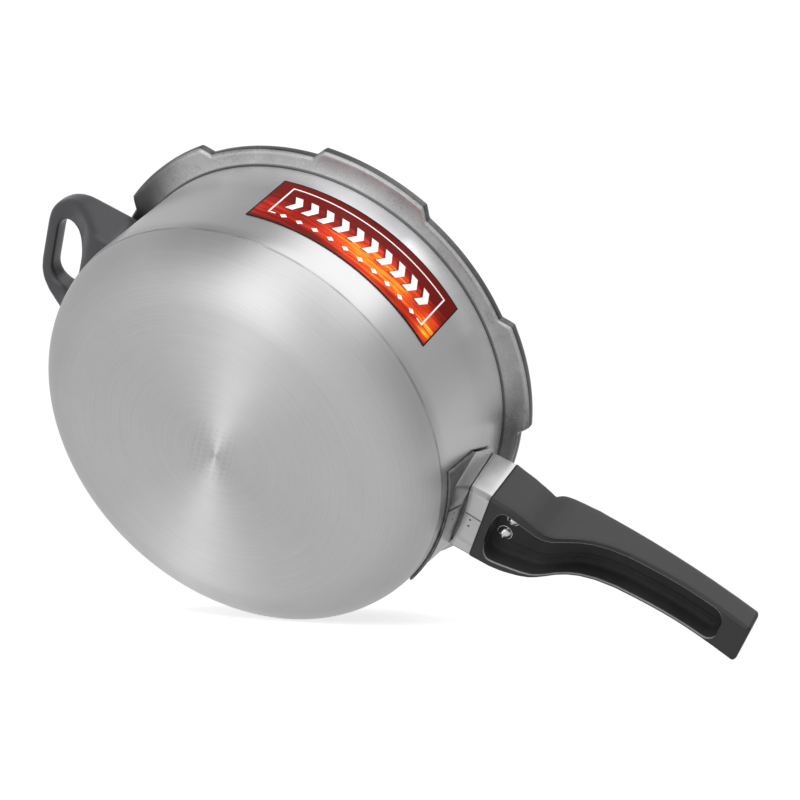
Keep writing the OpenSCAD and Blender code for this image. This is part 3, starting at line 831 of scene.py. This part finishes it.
class Collar:
    """A sheet collar, from its near edge at s = 0 to its far edge at s = 1."""

    def __init__(self, near_half, near_x, far_x):
        self.near_half, self.near_x, self.far_x = near_half, near_x, far_x

    def place(self, s, y, z):
        """The point at y and z, the share s of the way from the near edge to the far one."""
        near, far = self.near_x(y, z), self.far_x(y, z)
        return Vector((near + (far - near) * s, y, z))

    def loop(self, s, inset):
        """The outline of the sheet at s, moved inwards by inset."""
        middle = (NECK_LOW + NECK_TOP) / 2
        loops = []
        for half in (self.near_half, NECK_HALF):
            half = [(y - inset, z + (inset if z < middle else -inset)) for y, z in half]
            loops.append(rounded_outline(mirrored(half), 0.7 * MM))
        return [self.place(s, *near.lerp(far, s)) for near, far in zip(*loops)]

    def sheet(self, name, node, material):
        """The whole collar, as a closed sheet with rounded edges."""
        edge = [(0.0, 0.35), (0.0, 0.12), (0.04, 0.0), (0.2, 0.0), (0.4, 0.0), (0.6, 0.0), (0.8, 0.0),
                (0.96, 0.0), (1.0, 0.12), (1.0, 0.35)]
        stations = [(s, inset * MM) for s, inset in edge]
        stations += [(s, SHEET_T - inset * MM) for s, inset in reversed(edge)]
        rings = [self.loop(s, inset) for s, inset in stations]
        faces = loft_faces(len(rings), len(rings[0]), closed=True)
        piece = make_piece(name, [p for ring in rings for p in ring], faces, [material], sharp=28)
        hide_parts(node)

    def under(self, s, y, drop):
        """A place under the collar's flat underside."""
        low = self.near_half[0][1]
        return self.place(s, y, low + (NECK_LOW - low) * s - drop)

    def lap(self, name, y_near, y_far, material, seam):
        """The sheet's end, which laps over its start on the underside from a seam that slants."""
        edge = LAP_T * 2 / 3
        drops = [(0.02, 0.0), (0.02, edge), (0.07, LAP_T), (0.35, LAP_T), (0.65, LAP_T), (0.93, LAP_T),
                 (0.98, edge), (0.98, 0.0)]
        seam_steps = 2
        columns = [(0.0, 0.0), (0.03, 0.3), (0.045, 1.0), (0.25, 1.0), (0.5, 1.0), (0.75, 1.0), (0.98, 1.0),
                   (1.0, 0.66), (1.0, 0.0)]
        points = []
        for s, drop in drops:
            for across, depth in columns:
                y = y_near + (y_far - y_near) * s + LAP_W * across
                sunk = 0.2 * MM if depth == 0 or drop == 0 else 0.0
                points.append(self.under(s, y, drop * depth - sunk))
        size = len(columns)
        faces, zones = [], []
        for i in range(len(drops) - 1):
            for j in range(size - 1):
                a, b = i * size + j, (i + 1) * size + j
                faces.append((a, b, b + 1, a + 1))
                # the step faces along the seam take the dark seam finish: painted shade in the seam
                zones.append(1 if j < seam_steps else 0)
        last = (len(drops) - 1) * size
        rim = list(range(size)) + [i * size + size - 1 for i in range(1, len(drops))]
        rim += [last + j for j in range(size - 2, -1, -1)] + [i * size for i in range(len(drops) - 2, 0, -1)]
        faces.append(tuple(rim))
        zones.append(0)
        piece = make_piece(name, points, faces, [material, seam], sharp=30, face_zone=zones)

    def spot(self, s, y):
        """A place on the lapped sheet, and the way out of it."""
        here = self.under(s, y, LAP_T)
        out = (self.under(s, y + MM, LAP_T) - here).cross(self.under(s + 0.1, y, LAP_T) - here)
        return here, -out.normalized() if out.z > 0 else out.normalized()


def buttons(name, places, radius, height, material):
    """Small domed discs, each at a place with a way out."""
    rim = [(radius, -0.2 * MM), (radius, height * 0.3), (radius * 0.9, height * 0.75), (radius * 0.6, height),
           (radius * 0.25, height * 0.8)]
    points, faces = [], []
    turns = 24
    for centre, out in places:
        turned = out.to_track_quat("Z", "Y").to_matrix()
        start = len(points)
        for r, h in rim:
            for k in range(turns):
                t = 2 * math.pi * k / turns
                points.append(centre + turned @ Vector((r * math.cos(t), r * math.sin(t), h)))
        for a, b, c, d in loft_faces(len(rim), turns):
            faces.append((start + a, start + b, start + c, start + d))
        faces.append(tuple(range(start, start + turns)))
        faces.append(tuple(range(len(points) - turns, len(points))))
    piece = make_piece(name, points, faces, [material], sharp=60)


def collars(material, seam):
    """The band and the guard, each with its sheet lapped and spot-welded underneath."""
    def round_x(radius, lean):
        """X on a circle round the pan's axis, which leans back above the seam."""
        return lambda y, z: math.sqrt(radius ** 2 - y * y) - lean * max(z - SEAM_LOW, 0.0)

    def band_far(y, z):
        """The band's far edge, which opens a V-shaped gap on the underside."""
        open_gap = 1.2 * MM * smooth_step((17 * MM - abs(y)) / (9 * MM)) * (z < SEAM_LOW)
        return round_x(BAND_R, GAP_LEAN)(y, z) - open_gap

    band = Collar(FLARED_HALF, round_x(FOOT_R, 0.0), band_far)
    guard = Collar(NECK_HALF, round_x(GUARD_R, GAP_LEAN), lambda y, z: neck_high.x)
    band.sheet("band_sheet", "neck_band", material)
    guard.sheet("guard_sheet", "flame_guard", material)
    band.lap("band_lap", -15.5 * MM, -10 * MM, material, seam)
    guard.lap("guard_lap", -5.6 * MM, -4.8 * MM, material, seam)
    places = [band.spot(0.45, -9.4 * MM), band.spot(0.45, -5.2 * MM),
              guard.spot(0.42, -2.2 * MM), guard.spot(0.44, 1.8 * MM)]
    buttons("weld_marks", places, 0.6 * MM, 0.1 * MM, seam)


# ---- carried-over CAD nodes -----------------------------------------------------------


def paint(node, material):
    """Gives a CAD node its finish."""
    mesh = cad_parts[node].data
    mesh.materials.clear()
    mesh.materials.append(material)


# ---- studio ---------------------------------------------------------------------------

CAMERA_AIM = Vector((0.0638, -0.0407, 0.0526))
CAMERA_TURN = 18.137
CAMERA_RISE = -48.016
CAMERA_ROLL = 41.923
CAMERA_REACH = 0.9544


def add_camera():
    """The camera of the photograph: low in front of the pan, looking up at its base."""
    turn, rise = math.radians(CAMERA_TURN), math.radians(CAMERA_RISE)
    back = Vector((math.sin(turn) * math.cos(rise), -math.cos(turn) * math.cos(rise), math.sin(rise)))
    data = bpy.data.cameras.new("camera")
    data.lens = 90
    data.sensor_width = 36
    data.clip_start = 0.05
    camera = bpy.data.objects.new("camera", data)
    bpy.context.scene.collection.objects.link(camera)
    camera.rotation_mode = "QUATERNION"
    camera.location = CAMERA_AIM + back * CAMERA_REACH
    roll = Quaternion((0, 0, 1), math.radians(CAMERA_ROLL))
    camera.rotation_quaternion = (-back).to_track_quat("-Z", "Y") @ roll
    bpy.context.scene.camera = camera
    turn_matrix = camera.rotation_quaternion.to_matrix()
    return turn_matrix @ Vector((1, 0, 0)), turn_matrix @ Vector((0, 1, 0)), back


SOFT_BOX_TURN = -89.5
FLAG_TURNS = (-142, -22)
STRIP_X = -0.31


def add_world():
    """A white room: one broad soft box and two dark flags beside the pan, and a strip for its base."""
    world = bpy.data.worlds.new("studio")
    bpy.context.scene.world = world
    world.use_nodes = True
    tree = world.node_tree
    background = tree.nodes["Background"]
    place = tree.nodes.new("ShaderNodeTexCoord")
    split = tree.nodes.new("ShaderNodeSeparateXYZ")
    tree.links.new(place.outputs["Generated"], split.inputs[0])
    x, y, z = (Field(tree, split.outputs[i]) for i in range(3))
    flat = (x * x + y * y).math("SQRT") + 1e-4

    def toward(turn):
        """Cosine of the angle round Z between a direction and a turn."""
        t = math.radians(turn)
        return (x * math.cos(t) + y * math.sin(t)) / flat

    def band(turn, full, zero):
        """1 within `full` degrees of the turn, and 0 from `zero` degrees."""
        return toward(turn).ramp(math.cos(math.radians(zero)), math.cos(math.radians(full)))

    room = z.ramp(-0.25, -0.8, 0.58, 0.80)
    box = band(SOFT_BOX_TURN, 14, 39) * z.ramp(-0.55, -0.1) * 0.84
    strip = (x - STRIP_X).abs().ramp(0.38, 0.05) * z.ramp(-0.25, -0.55) * y.ramp(0.55, 0.1)
    flags = band(FLAG_TURNS[0], 8, 30).most(band(FLAG_TURNS[1], 8, 30)) * z.ramp(-0.55, -0.1) * -0.2
    top = z.ramp(0.5, 0.95) * 0.3
    light = room + box + strip + flags + top
    path = tree.nodes.new("ShaderNodeLightPath")
    seen = Field(tree, path.outputs["Is Camera Ray"])
    strength = light * (seen * -1.0 + 1.0) + seen * 1.02
    tree.links.new(strength.socket, background.inputs["Strength"])
    background.inputs["Color"].default_value = (1, 1, 1, 1)


def add_light(name, direction, distance, size, power):
    """A soft square light that faces the pan and doesn't mirror in it."""
    data = bpy.data.lights.new(name, "AREA")
    data.shape = "SQUARE"
    data.size = size
    data.energy = power
    lamp = bpy.data.objects.new(name, data)
    bpy.context.scene.collection.objects.link(lamp)
    direction = direction.normalized()
    lamp.location = CAMERA_AIM + direction * distance
    lamp.rotation_mode = "QUATERNION"
    lamp.rotation_quaternion = (-direction).to_track_quat("-Z", "Y")
    lamp.visible_glossy = False


FLOOR_REACH = 3.0
TIPPED_FLOOR_REACH = 0.075


def floor_material():
    """A white floor that shows only from above it, and keeps the shadows that fall on it."""
    material = bpy.data.materials.new("floor_white")
    material.use_nodes = True
    tree = material.node_tree
    tree.nodes.clear()
    out = tree.nodes.new("ShaderNodeOutputMaterial")
    side = tree.nodes.new("ShaderNodeNewGeometry")
    diffuse = tree.nodes.new("ShaderNodeBsdfDiffuse")
    diffuse.inputs["Color"].default_value = (0.95, 0.95, 0.95, 1)
    lift = tree.nodes.new("ShaderNodeEmission")
    lift.inputs["Strength"].default_value = 0.5
    both = tree.nodes.new("ShaderNodeAddShader")
    clear = tree.nodes.new("ShaderNodeBsdfTransparent")
    choose = tree.nodes.new("ShaderNodeMixShader")
    tree.links.new(diffuse.outputs[0], both.inputs[0])
    tree.links.new(lift.outputs[0], both.inputs[1])
    tree.links.new(side.outputs["Backfacing"], choose.inputs[0])
    tree.links.new(both.outputs[0], choose.inputs[1])
    tree.links.new(clear.outputs[0], choose.inputs[2])
    tree.links.new(choose.outputs[0], out.inputs["Surface"])
    return material


def add_floor(name, centre, normal, reach, material):
    """A flat floor that only the camera sees, so it lights nothing and mirrors in nothing."""
    side = normal.orthogonal().normalized()
    other = normal.cross(side)
    corners = [centre + side * reach * a + other * reach * b for a, b in ((-1, -1), (1, -1), (1, 1), (-1, 1))]
    mesh = bpy.data.meshes.new(name)
    mesh.from_pydata([tuple(c) for c in corners], [], [(0, 1, 2, 3)])
    mesh.materials.append(material)
    mesh.update()
    floor = bpy.data.objects.new(name, mesh)
    bpy.context.scene.collection.objects.link(floor)
    for ray in ("diffuse", "glossy", "transmission", "volume_scatter", "shadow"):
        setattr(floor, f"visible_{ray}", False)


def add_floors(photo_up):
    """One floor under the upright pan, and one on which the pan stands tipped on its bottom corner."""
    material = floor_material()
    add_floor("floor_level", Vector((0, 0, -0.1 * MM)), Vector((0, 0, 1)), FLOOR_REACH, material)
    flat_way = Vector((photo_up.x, photo_up.y, 0)).normalized()
    corner_centre = Vector((0, 0, CORNER_R)) - flat_way * FLAT_R
    lowest = corner_centre - photo_up * CORNER_R
    add_floor("floor_tipped", lowest - photo_up * 0.2 * MM, photo_up, TIPPED_FLOOR_REACH, material)


# ---- everything --------------------------------------------------------------------------

photo_right, photo_up, photo_back = add_camera()
add_world()
add_floors(photo_up)
add_light("key_light", photo_up * 0.9 - photo_right * 0.4 + photo_back * 0.8, 1.3, 0.7, 8)

pan_body()
wall_label()
long_handle()
black = bpy.data.materials["phenolic"]
softened("helper_grip", "helper_handle", black, 0.8 * MM, 60)
softened("saddle_casting", "saddle", cast_metal(), 0.5 * MM, 5)
# the dark seam finish paints shade on the laps' seam steps and also colours the weld marks
collars(collar_steel(), bright_steel("seam_shade_and_weld_steel", "x", 0.4, grey(0.13)))

zinc = bright_steel("zinc_plate", "z", 0.2, grey(0.74))
bracket = bright_steel("bracket_steel", "x", 0.32, grey(0.52))
rivet = bright_steel("rivet_metal", "z", 0.34, grey(0.6))
for node in ("front_handle_screw", "rear_handle_screw", "front_washer", "rear_washer",
             "helper_screws", "helper_washers", "helper_nuts"):
    paint(node, zinc)
for node in ("handle_tongue", "tongue_pin", "helper_bracket"):
    paint(node, bracket)
for node in ("saddle_rivets", "helper_rivets"):
    paint(node, rivet)

bpy.context.scene.view_settings.view_transform = "Standard"
